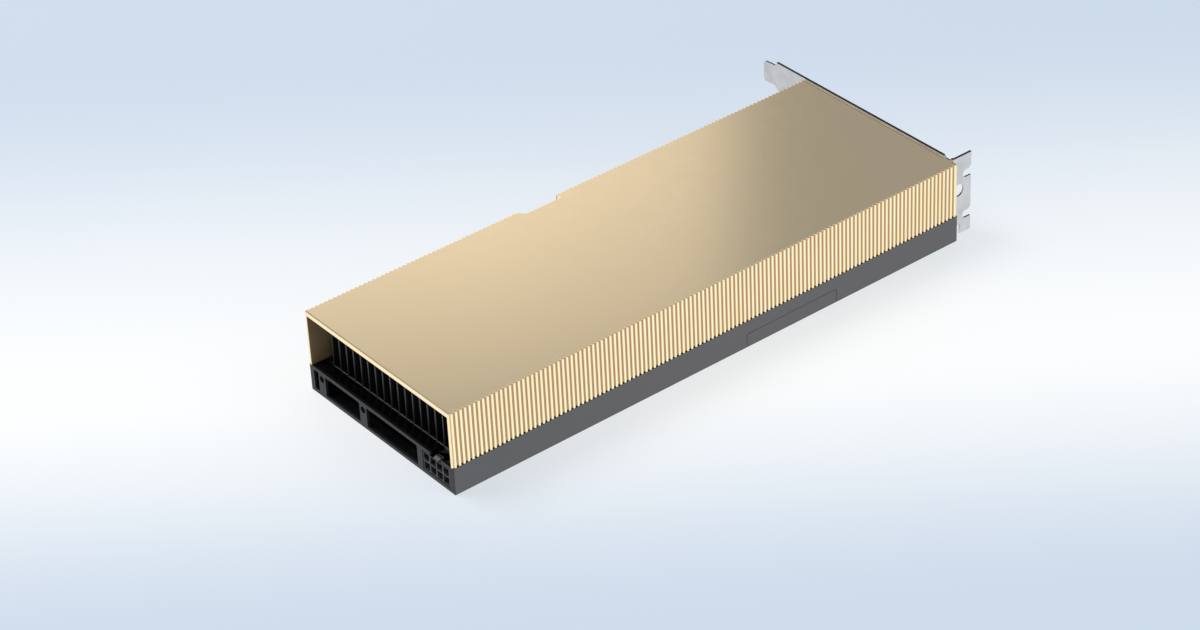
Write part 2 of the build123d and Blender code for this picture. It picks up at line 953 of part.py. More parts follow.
def power_connector():
    """The header's housing: eight keyed cavities, pin holes in the back and a latch ramp on top."""
    half = inlet_width / 2
    body = block(inlet_front, inlet_back, inlet_y - half, inlet_y + half, inlet_bottom, inlet_top)
    edge = pin_size / 2
    for index, (_, y, z) in enumerate(inlet_pin_places()):
        row, column = divmod(index, 4)
        keyed = (column in (0, 3)) == (row == 0)
        mouth = across(inlet_front - past) * Pos(y, z) * cavity_mouth(keyed)
        body -= extrude(mouth, cavity_depth + past)
        body -= block(inlet_front, inlet_back + past, y - edge, y + edge, z - edge, z + edge)
    return body + latch_ramp()


def power_pins():
    """Square pins that run back out of the housing and down through the board."""
    edge = pin_size / 2
    start = inlet_front + pin_setback
    pins = []
    for x, y, z in inlet_pin_places():
        tail_low = max(z - edge, board_top)
        pin = block(start, inlet_back, y - edge, y + edge, z - edge, z + edge)
        pin += block(inlet_back - bite, x + edge, y - edge, y + edge, tail_low, z + edge)
        pin += block(x - edge, x + edge, y - edge, y + edge, board_bottom - fit, z + edge)
        pins.append(pin)
    return Compound(children=pins)


def retainer_nuts():
    """Threaded inserts behind the two retainer holes of the end wall."""
    start = power_end + frame_wall
    end = start + retainer_nut_length
    nuts = []
    for y in retainer_places:
        nut = rod(start, end, y, retainer_height, retainer_nut_radius)
        nuts.append(nut - rod(start - past, end + past, y, retainer_height, retainer_thread_radius))
    return Compound(children=nuts)


# Bracket


def bracket_sheet():
    """The folded strip before its outline is cut: flange, plate and the leaning end of the tabs."""
    half = bracket_thickness / 2
    plate_x = bracket_end + half
    tip = flange_face + bracket_length
    path = FilletPolyline(
        (bracket_end + flange_reach, flange_face + half),
        (plate_x, flange_face + half),
        (plate_x, tip - tab_bend),
        (plate_x - tab_lean, tip),
        radius=bend_radius + half,
    )
    return Pos(0, 0, bracket_low) * extrude(trace(path, bracket_thickness), bracket_height)


def bracket_stencil():
    """The plate's outline seen along X, with its two tabs and their sloped shoulders."""
    near = -half_width
    tip = flange_face + bracket_length
    root = tip - tab_length
    neck = root - shoulder
    lower = bracket_low + tab_low
    upper = lower + slot_pitch
    outline = Polygon(
        (near, bracket_low),
        (neck, bracket_low),
        (neck, lower - shoulder),
        (root, lower),
        (tip, lower),
        (tip, lower + tab_width),
        (root, lower + tab_width),
        (root - tab_relief, lower + tab_width + tab_relief),
        (root - tab_relief, upper - tab_relief),
        (root, upper),
        (tip, upper),
        (tip, upper + tab_width),
        (root, upper + tab_width),
        (root - tab_step, bracket_top),
        (near, bracket_top),
        align=None,
    )
    corners = [v for v in outline.vertices() if abs(v.X - tip) < bite]
    return fillet(corners, tab_radius)


def flange_cutters():
    """Cutters for the flange: two screw slots with a flared mouth, the hole and the heel."""
    outer = bracket_end + flange_reach
    low = flange_face - past
    high = flange_face + bracket_thickness + bend_radius
    half = screw_slot_width / 2
    cutters = []
    for index in range(2):
        z = bracket_low + screw_slot_low + index * slot_pitch
        centre = outer - screw_slot_depth + half
        cutters.append(block(centre, outer + past, low, high, z - half, z + half))
        round_end = Cylinder(half, high - low)
        cutters.append(Pos(centre, (low + high) / 2, z) * Rot(90, 0, 0) * round_end)
        flare = Polygon(
            (outer - screw_slot_flare, z),
            (outer + past, z),
            (outer + past, z + half + screw_slot_flare + past),
            (outer - screw_slot_flare, z + half),
            align=None,
        )
        cutters.append(Pos(0, high, 0) * extrude(Plane.XZ * flare, high - low))
    x, z = bracket_end + flange_hole_reach, bracket_low + flange_hole_height
    hole = Cylinder(flange_hole_radius, high - low)
    cutters.append(Pos(x, (low + high) / 2, z) * Rot(90, 0, 0) * hole)
    heel_top = bracket_low + heel_height
    heel = block(bracket_end - past, bracket_end + heel_reach, low, high, bracket_low - past, heel_top)
    return cutters + [heel]


def plate_cutters():
    """Cutters for the vents, the countersunk screw holes and the notch beside the fold."""
    sheet = across(bracket_end - past)
    depth = bracket_thickness + 2 * past
    vent = SlotOverall(vent_length, vent_width, rotation=90)
    vents = [Pos(y, z) for z in vent_rows for _, y in grid(1, vent_count, 0, fin_pitch)]
    cutters = [extrude(sheet * place * vent, depth) for place in vents]
    for y, z in bracket_screw_places:
        sink = Cone(screw_bore, head_bore, bracket_thickness)
        cutters.append(Pos(bracket_end + bracket_thickness / 2, y, z) * Rot(0, 90, 0) * sink)
    fold_side = flange_face + bracket_thickness + bend_radius
    slope = fold_side + fold_notch_width
    notch = Polygon(
        (fold_side, bracket_top - fold_notch_depth),
        (slope, bracket_top - fold_notch_depth),
        (slope + fold_notch_depth + past, bracket_top + past),
        (fold_side, bracket_top + past),
        align=None,
    )
    return cutters + [extrude(sheet * notch, depth)]


def io_bracket():
    """The steel bracket: folded sheet, cut to outline, with slots, tabs and vents."""
    depth = tab_lean + flange_reach + 2 * past
    bracket = bracket_sheet() & extrude(across(bracket_end - tab_lean - past) * bracket_stencil(), depth)
    for cutter in flange_cutters() + plate_cutters():
        bracket -= cutter
    return bracket


# Screws


def housing_screws():
    """Countersunk screws through the back plate and the board."""
    neck = backplate_thickness - head_gap
    head = Pos(0, 0, head_gap + neck / 2) * Cone(screw_head_radius, screw_radius, neck)
    shape = head + upright(0, 0, backplate_thickness - bite, board_top + screw_grip, screw_radius)
    return Compound(children=[Pos(x, y, 0) * shape for x, y in housing_screw_places()])


def shroud_screws():
    """Pan-head screws up through the frame's ledges into the shroud's lugs."""
    screws = []
    for x, y in shroud_screw_places():
        head = upright(x, y, ledge_low - screw_head_height, ledge_low, screw_head_radius)
        screws.append(head + upright(x, y, ledge_low, band_height + screw_grip, screw_radius))
    return Compound(children=screws)


def brace_screws():
    """Pan-head screws through the brace and the board into the cooler."""
    low = board_bottom - brace_thickness
    screws = []
    for x, y in brace_screw_places():
        head = upright(x, y, low - brace_head_height, low, brace_head_radius)
        screws.append(head + upright(x, y, low, board_top + screw_grip, screw_radius))
    return Compound(children=screws)


def bracket_screws():
    """Countersunk screws through the bracket into the frame and the shroud."""
    neck = bracket_thickness - head_gap
    screws = []
    for y, z in bracket_screw_places:
        head = Cone(screw_radius, screw_head_radius, neck)
        place = Pos(bracket_end + neck / 2, y, z) * Rot(0, 90, 0)
        screws.append(place * head + rod(bracket_end - screw_grip, bracket_end + bite, y, z, screw_radius))
    return Compound(children=screws)


# Every piece of the card, under its own name

PIECES = (
    top_shroud,
    base_frame,
    backplate,
    link_cover,
    io_bracket,
    circuit_board,
    edge_contacts,
    link_contacts,
    cold_plate,
    cooling_fins,
    inductor_pads,
    stage_pads,
    backplate_pads,
    gpu_substrate,
    package_ring,
    processor_die,
    memory_stacks,
    thermal_paste,
    spring_brace,
    power_inductors,
    power_stages,
    input_capacitors,
    output_capacitors,
    rear_capacitors,
    input_choke,
    input_fuses,
    phase_controllers,
    monitor_chip,
    firmware_chip,
    clock_crystal,
    power_connector,
    power_pins,
    retainer_nuts,
    housing_screws,
    shroud_screws,
    brace_screws,
    bracket_screws,
)

os.makedirs("parts", exist_ok=True)
for piece in PIECES:
    export_step(piece(), f"parts/{piece.__name__}.step")
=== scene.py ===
"""Looks of a passive accelerator card: a fluted gold cover on a dark frame, with black fins inside.

Lengths are in millimetres in the classes and become metres where a mesh is made. The frame is the card's
own: +X runs from the power end to the bracket, +Y towards the edge contacts and +Z out through the cover.
"""

import logging
import math
from dataclasses import dataclass
from enum import Enum

import bmesh
import bpy
import numpy as np
from mathutils import Matrix, Vector


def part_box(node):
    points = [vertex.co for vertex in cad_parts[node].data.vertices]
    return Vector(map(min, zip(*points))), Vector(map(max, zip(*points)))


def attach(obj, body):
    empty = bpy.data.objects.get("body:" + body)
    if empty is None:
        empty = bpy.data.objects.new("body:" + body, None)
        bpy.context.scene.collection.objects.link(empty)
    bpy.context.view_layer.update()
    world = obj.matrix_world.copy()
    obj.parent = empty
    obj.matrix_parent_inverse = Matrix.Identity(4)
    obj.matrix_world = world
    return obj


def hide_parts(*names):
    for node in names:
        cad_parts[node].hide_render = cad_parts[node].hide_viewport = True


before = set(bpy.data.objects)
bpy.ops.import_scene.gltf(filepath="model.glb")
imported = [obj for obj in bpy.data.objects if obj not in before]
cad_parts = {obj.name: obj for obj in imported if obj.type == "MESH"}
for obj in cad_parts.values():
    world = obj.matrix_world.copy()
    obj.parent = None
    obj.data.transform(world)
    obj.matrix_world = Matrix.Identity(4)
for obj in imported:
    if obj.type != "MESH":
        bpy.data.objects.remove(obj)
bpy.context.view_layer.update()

MM = 0.001
IMAGE_WIDTH = 1200
LOG = logging.getLogger("card")

Tree = bpy.types.NodeTree
Socket = bpy.types.NodeSocket
Form = tuple[np.ndarray, np.ndarray]  # points in mm, one row each, and quads by their numbers
Colour = tuple[float, float, float, float]
Places = tuple[tuple[float, float], ...]

NOISE_RANGE = (0.3, 0.7)  # where nearly all of a noise pattern's values lie
BLOTCH_RANGE = (0.35, 0.65)  # narrower, so that the two colours of a finish both show in full
GLOSS_BLOTCHES = 3  # how many times smaller the blotches of the gloss are than those of the colour
SHARP_DEGREES = 40.0  # an edge that turns by more stays sharp
CAD_SHARP_DEGREES = 35.0
CAD_FLAT_DEGREES = 0.4  # CAD triangles that turn by less become one face
SAME_PLACE = 1e-6  # points closer than this, in metres, become one
LUG_COLUMNS = (-88.4, 16.6, 104.6)  # where the cover is screwed to the frame


class Source(Enum):
    """What an accent reads: a place on the piece or the way its surface faces."""

    PLACE = "Object"
    FACING = "Normal"


@dataclass(frozen=True)
class Accent:
    """A second colour that fades in along one axis.

    The share is a smooth step of the value along the axis, from 0 at start to 1 at end. Places are in mm,
    and facing runs from -1 to 1. With both_sides the value is taken without its sign. A roughness changes
    the gloss by the same share.
    """

    colour: str
    source: Source
    axis: str
    start: float
    end: float
    both_sides: bool = False
    roughness: float | None = None


def linear(colour: str) -> Colour:
    """Turns an sRGB hex colour into linear light.

    Args:
        colour: such as "#DDC5A1".

    Returns:
        Red, green, blue and alpha, each from 0 to 1.
    """
    parts = np.array([int(colour[i : i + 2], 16) for i in (1, 3, 5)]) / 255
    low = parts / 12.92
    high = ((parts + 0.055) / 1.055) ** 2.4
    return (*np.where(parts <= 0.04045, low, high).tolist(), 1.0)


def add(tree: Tree, kind: str, sockets: dict | None = None, **settings) -> bpy.types.Node:
    """Adds one node with its settings and links.

    Args:
        tree: the node tree to add it to.
        kind: the node's type, without the leading "ShaderNode".
        sockets: input name or number to a value, or to an output that is linked to it.
        settings: the node's own properties.

    Returns:
        The new node.
    """
    node = tree.nodes.new("ShaderNode" + kind)
    for name, value in settings.items():
        setattr(node, name, value)
    for name, value in (sockets or {}).items():
        if isinstance(value, Socket):
            tree.links.new(value, node.inputs[name])
        else:
            node.inputs[name].default_value = value
    return node


@dataclass(frozen=True)
class Finish:
    """A surface finish, named for the real material, with the scale of its patterns in mm.

    The base drifts between two colours over mottle_mm, the gloss drifts with it, and a fine grain of
    grain_mm stands grain_depth_mm proud. stretch draws both patterns out along X, Y or Z.
    """

    name: str
    colour: str
    drift: str
    metallic: float = 0.0
    roughness: float = 0.5
    gloss_drift: float = 0.06
    mottle_mm: float = 25.0
    grain_mm: float = 0.5
    grain_depth_mm: float = 0.004
    stretch: tuple[float, float, float] = (1.0, 1.0, 1.0)
    specular: float = 0.5
    coat: float = 0.0
    accents: tuple[Accent, ...] = ()

    def pattern(self, tree: Tree, size_mm: float, detail: float) -> Socket:
        """Noise whose blotches are size_mm across, drawn out by the finish's stretch.

        Args:
            tree: the material's node tree.
            size_mm: blotch size on the real surface.
            detail: how many finer layers the noise has.

        Returns:
            The noise, from about 0.3 to 0.7.
        """
        place = add(tree, "TexCoord").outputs["Object"]
        scale = tuple(1 / (size_mm * MM * s) for s in self.stretch)
        placed = add(tree, "Mapping", {"Vector": place, "Scale": scale})
        noise = add(tree, "TexNoise", {"Vector": placed.outputs[0], "Scale": 1.0, "Detail": detail})
        return noise.outputs[0]

    def share(self, tree: Tree, accent: Accent) -> Socket:
        """How much of an accent shows at a point.

        Args:
            tree: the material's node tree.
            accent: the accent.

        Returns:
            Its share, from 0 to 1.
        """
        source = add(tree, "TexCoord").outputs[accent.source.value]
        value = add(tree, "SeparateXYZ", {0: source}).outputs["XYZ".index(accent.axis)]
        if accent.both_sides:
            value = add(tree, "Math", {0: value}, operation="ABSOLUTE").outputs[0]
        unit = MM if accent.source is Source.PLACE else 1.0
        limits = {"Value": value, "From Min": accent.start * unit, "From Max": accent.end * unit}
        return add(tree, "MapRange", limits, interpolation_type="SMOOTHSTEP").outputs[0]

    def colours(self, tree: Tree) -> Socket:
        """The base colour with its drift and its accents.

        Args:
            tree: the material's node tree.

        Returns:
            The colour.
        """
        pattern = self.pattern(tree, self.mottle_mm, detail=4.0)
        low, high = BLOTCH_RANGE
        blotch = add(tree, "MapRange", {"Value": pattern, 1: low, 2: high}).outputs[0]
        ends = {0: blotch, 6: linear(self.colour), 7: linear(self.drift)}
        mixed = add(tree, "Mix", ends, data_type="RGBA").outputs[2]
        for accent in self.accents:
            ends = {0: self.share(tree, accent), 6: mixed, 7: linear(accent.colour)}
            mixed = add(tree, "Mix", ends, data_type="RGBA").outputs[2]
        return mixed

    def gloss(self, tree: Tree) -> Socket:
        """The roughness with its drift and that of the accents.

        Args:
            tree: the material's node tree.

        Returns:
            The roughness.
        """
        low, high = NOISE_RANGE
        limits = {
            "Value": self.pattern(tree, self.mottle_mm / GLOSS_BLOTCHES, detail=5.0),
            "From Min": low,
            "From Max": high,
            "To Min": self.roughness - self.gloss_drift,
            "To Max": self.roughness + self.gloss_drift,
        }
        roughness = add(tree, "MapRange", limits).outputs[0]
        for accent in self.accents:
            if accent.roughness is not None:
                ends = {0: self.share(tree, accent), 2: roughness, 3: accent.roughness}
                roughness = add(tree, "Mix", ends).outputs[0]
        return roughness

    def relief(self, tree: Tree) -> Socket:
        """The height of the fine grain, in metres."""
        grain = self.pattern(tree, self.grain_mm, detail=2.0)
        return add(tree, "Math", {0: grain, 1: self.grain_depth_mm * MM}, operation="MULTIPLY").outputs[0]

    def material(self) -> bpy.types.Material:
        """Makes the finish's material, or finds it where it was made before.

        Returns:
            The material.
        """
        known = bpy.data.materials.get(self.name)
        if known:
            return known
        material = bpy.data.materials.new(self.name)
        material.use_nodes = True
        tree = material.node_tree
        shader = tree.nodes["Principled BSDF"]
        shader.inputs["Metallic"].default_value = self.metallic
        shader.inputs["Specular IOR Level"].default_value = self.specular
        shader.inputs["Coat Weight"].default_value = self.coat
        tree.links.new(self.colours(tree), shader.inputs["Base Color"])
        tree.links.new(self.gloss(tree), shader.inputs["Roughness"])
        bump = add(tree, "Bump", {"Height": self.relief(tree), "Strength": 1.0, "Distance": 1.0})
        tree.links.new(bump.outputs[0], shader.inputs["Normal"])
        return material


class Gold:
    """Champagne anodised aluminium of the cover."""

    # Satin metal in a plain pale gold, with painted light on the flutes: a painted highlight makes the crests
    # paler and painted shade turns the grooves tan. The top, the relief and the rim ends keep the plain gold.
    BODY = Finish(
        "anodised_aluminium_champagne",
        "#FFFAD4",
        "#FEF5CC",
        metallic=1.0,
        roughness=0.1,
        gloss_drift=0.01,
        mottle_mm=18.0,
        grain_mm=0.6,
        grain_depth_mm=0.0012,
        accents=(
            Accent("#EAC48C", Source.PLACE, "Y", 48.33, 48.12, both_sides=True),
            Accent("#B29A82", Source.PLACE, "Y", 48.1, 47.84, both_sides=True),
            Accent("#FFECC4", Source.PLACE, "Y", 47.2, 47.0, both_sides=True),
            Accent("#FFECC4", Source.FACING, "Z", 0.3, 0.6),
            Accent("#FFECC4", Source.PLACE, "X", 132.9, 133.1, both_sides=True),
        ),
    )
    # Painted shade for the inside and the lugs: a matt dull brown in place of the gold, so that they stay
    # dark
    INSIDE = Finish(
        "shaded_inside_brown",
        "#8A7354",
        "#7C684C",
        roughness=0.55,
        mottle_mm=12.0,
        grain_mm=0.4,
    )


class Dark:
    """Black and charcoal finishes of the frame, the cooler and the plastics."""

    # Coated cast aluminium: a matt charcoal with a fine orange-peel grain. Painted shade makes the end wall a
    # dark slate, the deck behind it a glossier near-black and the ledge under the flutes near-black, while
    # the sides keep the charcoal.
    FRAME = Finish(
        "coated_cast_aluminium_charcoal",
        "#606062",
        "#59595B",
        roughness=0.48,
        specular=0.3,
        mottle_mm=9.0,
        grain_mm=0.7,
        grain_depth_mm=0.006,
        accents=(
            Accent("#060607", Source.PLACE, "X", -125.9, -126.0, roughness=0.25),
            Accent("#1E2126", Source.PLACE, "X", -132.1, -132.25, roughness=0.48),
            Accent("#606062", Source.PLACE, "Y", 47.2, 47.4, both_sides=True, roughness=0.48),
            Accent("#1E2126", Source.PLACE, "X", -133.1, -133.35, roughness=0.48),
            Accent("#0B0C0D", Source.PLACE, "Z", 12.52, 12.59),
        ),
    )
    # Black anodised sheet fins: deep satin black, paler grey on the faces that point towards the power end
    FINS = Finish(
        "anodised_aluminium_black_sheet",
        "#121314",
        "#0D0E0F",
        roughness=0.42,
        mottle_mm=14.0,
        accents=(Accent("#35383C", Source.FACING, "X", -0.75, -0.98),),
    )
    # The fins' base plate: deep black, with its front face pale grey as a painted highlight along its front
    # edge
    BASE = Finish(
        "anodised_aluminium_black_base",
        "#0D0E0F",
        "#131415",
        roughness=0.3,
        mottle_mm=16.0,
        accents=(Accent("#6A6C70", Source.PLACE, "X", -125.5, -125.55),),
    )
    # Black anodised plate: smoother than the fins, so that they mirror in it
    PLATE = Finish("anodised_aluminium_black_plate", "#0D0E0F", "#131415", roughness=0.3, mottle_mm=16.0)
    # Moulded glass-filled nylon: dull black with a coarse grain, grey above 10.7 mm where the latch stands,
    # except where it faces straight up
    NYLON = Finish(
        "moulded_nylon_black",
        "#2B2C2E",
        "#242527",
        roughness=0.55,
        mottle_mm=5.0,
        grain_mm=0.35,
        grain_depth_mm=0.01,
        accents=(
            Accent("#696867", Source.PLACE, "Z", 10.5, 10.7),
            Accent("#2B2C2E", Source.FACING, "Z", 0.955, 0.985),
        ),
    )
    # Moulded epoxy of the chips: flat black
    EPOXY = Finish("moulded_epoxy_black", "#17181A", "#1D1E20", roughness=0.6, mottle_mm=4.0, grain_mm=0.2)
    # Pressed iron powder of the coils: grey and gritty
    POWDER = Finish(
        "pressed_iron_powder",
        "#3A3B3D",
        "#444546",
        roughness=0.75,
        mottle_mm=2.0,
        grain_mm=0.3,
        grain_depth_mm=0.02,
    )


class Metal:
    """Steel, nickel, gold plate and tin."""

    # Zinc-plated sheet: pale and cloudy, with painted shade in dark blue-black on the faces that point up and
    # on the strip at the top of the flange
    ZINC = Finish(
        "zinc_plated_sheet_steel",
        "#D2D4D7",
        "#C4C7CA",
        metallic=0.75,
        roughness=0.42,
        mottle_mm=7.0,
        accents=(
            Accent("#1E2732", Source.FACING, "Z", 0.6, 0.9),
            Accent("#1E2732", Source.PLACE, "Z", 38.62, 38.72),
        ),
    )
    # Black oxide on screws: blue-black and slightly oily
    BLACK_OXIDE = Finish(
        "black_oxide_steel", "#26282B", "#1C1D20", metallic=0.9, roughness=0.38, mottle_mm=1.5, grain_mm=0.2
    )
    # Bare spring steel: fine lengthways brushing
    SPRING = Finish(
        "brushed_spring_steel",
        "#A9ABAD",
        "#95979A",
        metallic=1.0,
        roughness=0.35,
        mottle_mm=6.0,
        stretch=(8.0, 1.0, 1.0),
    )
    # Nickel plate: a soft warm mirror
    NICKEL = Finish("nickel_plate", "#C9C4B8", "#BDB8AC", metallic=1.0, roughness=0.25, mottle_mm=5.0)
    # Hard gold plate: deep yellow and smooth
    GOLD_PLATE = Finish(
        "hard_gold_plate", "#E6C069", "#DDB55C", metallic=1.0, roughness=0.22, mottle_mm=2.0, grain_mm=0.15
    )
    # Tin plate: bright, with a faint bloom
    TIN = Finish("bright_tin_plate", "#CFCBC2", "#C2BEB5", metallic=1.0, roughness=0.3, mottle_mm=2.0)
    # Turned brass under a dark plating: almost black inside its hole
    INSERT = Finish(
        "blackened_brass_insert",
        "#4B4A45",
        "#3E3D3A",
        metallic=0.8,
        roughness=0.4,
        mottle_mm=1.0,
        grain_mm=0.1,
    )
    # Back of a bare die: mirror-like, violet grey
    SILICON = Finish(
        "polished_silicon",
        "#5A5964",
        "#63616E",
        metallic=0.6,
        roughness=0.12,
        mottle_mm=20.0,
        grain_depth_mm=0.0,
    )


class Inner:
    """Board laminates, heat pads and ceramic parts."""

    # Glass-epoxy under dark solder mask: glossy lacquer over a faint weave
    MASK = Finish(
        "solder_mask_on_glass_epoxy",
        "#10211A",
        "#0C1A15",
        roughness=0.32,
        mottle_mm=6.0,
        grain_mm=0.9,
        grain_depth_mm=0.01,
        coat=0.5,
    )
    # Package laminate: dark green under a thin lacquer
    LAMINATE = Finish(
        "package_laminate_green", "#1E4A34", "#1A4230", roughness=0.35, mottle_mm=3.0, coat=0.3
    )
    # Silicone heat pad: chalky grey putty
    PAD = Finish(
        "silicone_heat_pad",
        "#8E9298",
        "#83878D",
        roughness=0.85,
        mottle_mm=3.0,
        grain_mm=0.4,
        grain_depth_mm=0.02,
    )
    # Fired ceramic: sandy and dull
    CERAMIC = Finish("fired_ceramic_tan", "#A68A63", "#957A56", roughness=0.5, mottle_mm=1.5, grain_mm=0.2)


def grid_quads(rows: int, columns: int) -> np.ndarray:
    """Quads of a grid whose points are stored row by row, and whose last column joins the first.

    Args:
        rows: number of rows.
        columns: number of columns.

    Returns:
        Point numbers, one row of four for each quad.
    """
    i = np.arange(rows - 1)[:, None]
    j = np.arange(columns)[None, :]
    k = (j + 1) % columns
    row, following = i * columns, (i + 1) * columns
    corners = np.broadcast_arrays(row + j, row + k, following + k, following + j)
    return np.stack(corners, axis=-1).reshape(-1, 4)


def repeated(faces: np.ndarray, points: int, copies: int) -> np.ndarray:
    """The same faces for each of several equal sets of points that are stored one after another."""
    return (faces[None] + points * np.arange(copies)[:, None, None]).reshape(-1, faces.shape[1])


def new_piece(
    name: str, points: np.ndarray, faces: np.ndarray, finish_of: np.ndarray | None = None
) -> bpy.types.Object:
    """Puts points and quads into a closed mesh whose faces point outwards.

    Args:
        name: the piece's name.
        points: places in mm, one row each.
        faces: point numbers, four for each quad.
        finish_of: the number of each face's finish, where the piece has more than one.

    Returns:
        The linked object.
    """
    mesh = bpy.data.meshes.new(name)
    mesh.vertices.add(len(points))
    mesh.vertices.foreach_set("co", (points * MM).astype(np.float32).ravel())
    mesh.loops.add(faces.size)
    mesh.loops.foreach_set("vertex_index", faces.astype(np.int32).ravel())
    mesh.polygons.add(len(faces))
    mesh.polygons.foreach_set("loop_start", np.arange(0, faces.size, faces.shape[1], dtype=np.int32))
    if finish_of is not None:
        mesh.polygons.foreach_set("material_index", finish_of.astype(np.int32))
    mesh.update(calc_edges=True)
    mesh.validate()
    tidy_mesh(mesh, SHARP_DEGREES)
    piece = bpy.data.objects.new(name, mesh)
    bpy.context.scene.collection.objects.link(piece)
    return piece


def tidy_mesh(mesh: bpy.types.Mesh, smooth_below: float, flat_below: float = 0.0) -> None:
    """Merges doubles, turns the faces outwards and marks the edges that stay sharp.

    Args:
        mesh: the mesh to tidy.
        smooth_below: edges that turn by less than this many degrees are shaded smooth.
        flat_below: neighbouring faces that turn by less than this many degrees become one, or 0 for none.
    """
    work = bmesh.new()
    work.from_mesh(mesh)
    bmesh.ops.remove_doubles(work, verts=work.verts, dist=SAME_PLACE)
    if flat_below:
        angle = math.radians(flat_below)
        bmesh.ops.dissolve_limit(work, angle_limit=angle, verts=work.verts, edges=work.edges)
    bmesh.ops.recalc_face_normals(work, faces=work.faces)
    work.to_mesh(mesh)
    work.free()
    mesh.shade_smooth()
    mesh.set_sharp_from_angle(angle=math.radians(smooth_below))


def eased_copy(node: str, width: float, steps: int = 2) -> bpy.types.Object:
    """Copies a CAD node as a closed mesh whose sharp edges get a small round.

    Args:
        node: the CAD node.
        width: width of the round, in mm.
        steps: facets of the round.

    Returns:
        The linked object, which replaces the node.
    """
    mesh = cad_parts[node].data.copy()
    mesh.name = node + "_eased"
    mesh.materials.clear()
    tidy_mesh(mesh, CAD_SHARP_DEGREES, flat_below=CAD_FLAT_DEGREES)
    piece = bpy.data.objects.new(node + "_eased", mesh)
    bpy.context.scene.collection.objects.link(piece)
    bevel = piece.modifiers.new("edge round", "BEVEL")
    bevel.width = width * MM
    bevel.segments = steps
    bevel.limit_method = "ANGLE"
    bevel.angle_limit = math.radians(SHARP_DEGREES)
    bevel.use_clamp_overlap = False
    bevel.harden_normals = True
    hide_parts(node)
    return piece


def dress(piece: bpy.types.Object, slot: str, *finishes: Finish) -> None:
    """Gives a new piece its finishes and its body.

    Args:
        piece: the new piece.
        slot: the record's material slot, which is not used.
        finishes: its finishes, in the order in which its faces number them.
    """
    for finish in finishes:
        piece.data.materials.append(finish.material())
    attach(piece, "root")
    LOG.info("%s: %s", piece.name, ", ".join(finish.name for finish in finishes))


def dress_node(node: str, finish: Finish) -> None:
    """Gives a CAD node its finish in its object's own slots, so that its mesh stays as it is.

    Args:
        node: the CAD node.
        finish: its finish.
    """
    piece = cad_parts[node]
    if not piece.data.materials:
        piece.data.materials.append(None)
    for place in piece.material_slots:
        place.link = "OBJECT"
        place.material = finish.material()
    LOG.info("%s: %s", node, finish.name)


def corners_mm(node: str) -> tuple[np.ndarray, np.ndarray]:
    """Lowest and highest corner of a CAD node, in mm."""
    low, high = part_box(node)
    return np.array(low) / MM, np.array(high) / MM


